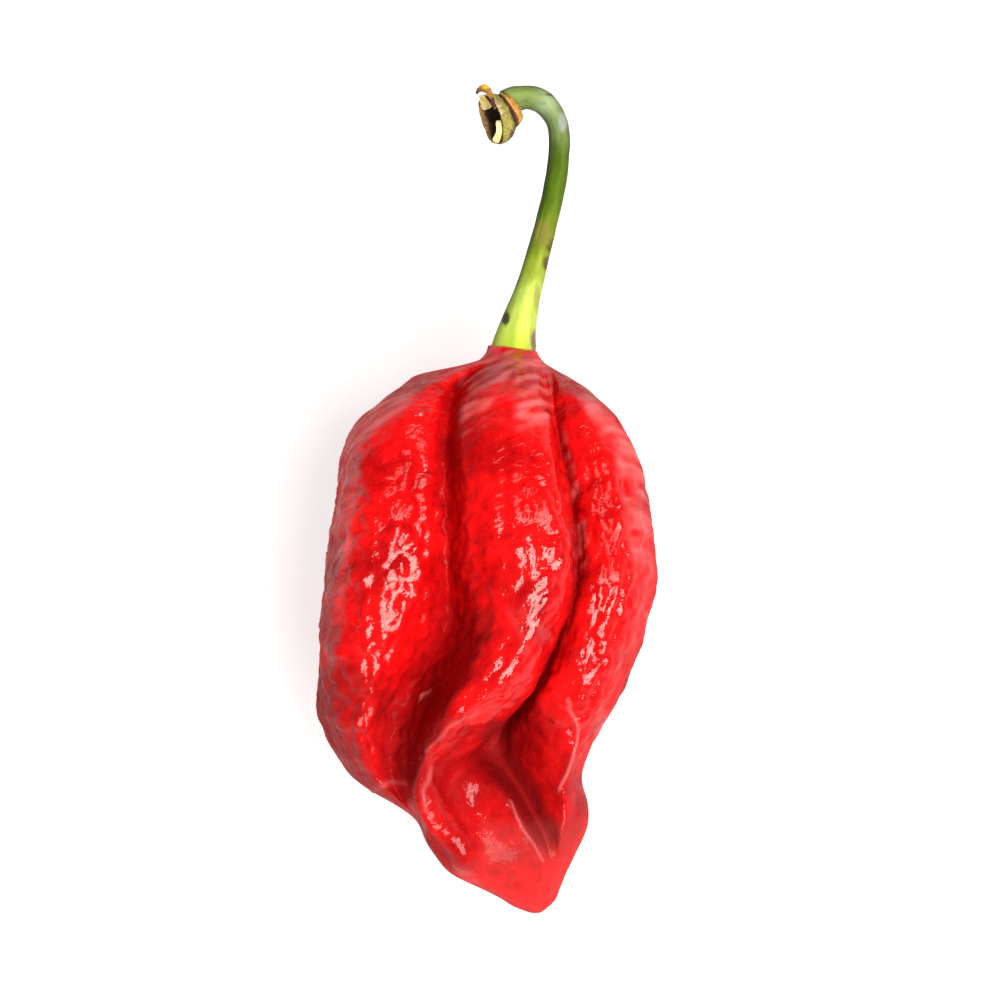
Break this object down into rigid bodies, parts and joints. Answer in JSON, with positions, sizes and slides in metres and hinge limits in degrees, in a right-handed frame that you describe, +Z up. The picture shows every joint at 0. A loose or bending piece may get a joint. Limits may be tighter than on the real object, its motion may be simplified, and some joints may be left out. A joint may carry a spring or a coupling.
{
  "type": "chili pepper",
  "caption": "Ripe red chili pod with deep folds, wrinkled glossy skin and a pointed tip, lying on its side with its hooked green stem and the stem's dried torn end.",
  "frame": {"origin": "middle of the flat spot that the pod rests on", "axes": "+Y from the pod's tip towards its stem, +Z up from the surface that it lies on, +X to the right seen from above"},
  "size_m": [0.0383, 0.0922, 0.0319],
  "materials": {
    "pod_skin": "glossy, finely wrinkled waxy skin",
    "green_stem": "satin",
    "dried_bark": "dry and rough"
  },
  "bodies": {
    "root": {"pod": "pod_skin", "stem": "green_stem", "dry_end": "dried_bark"}
  },
  "joints": []
}
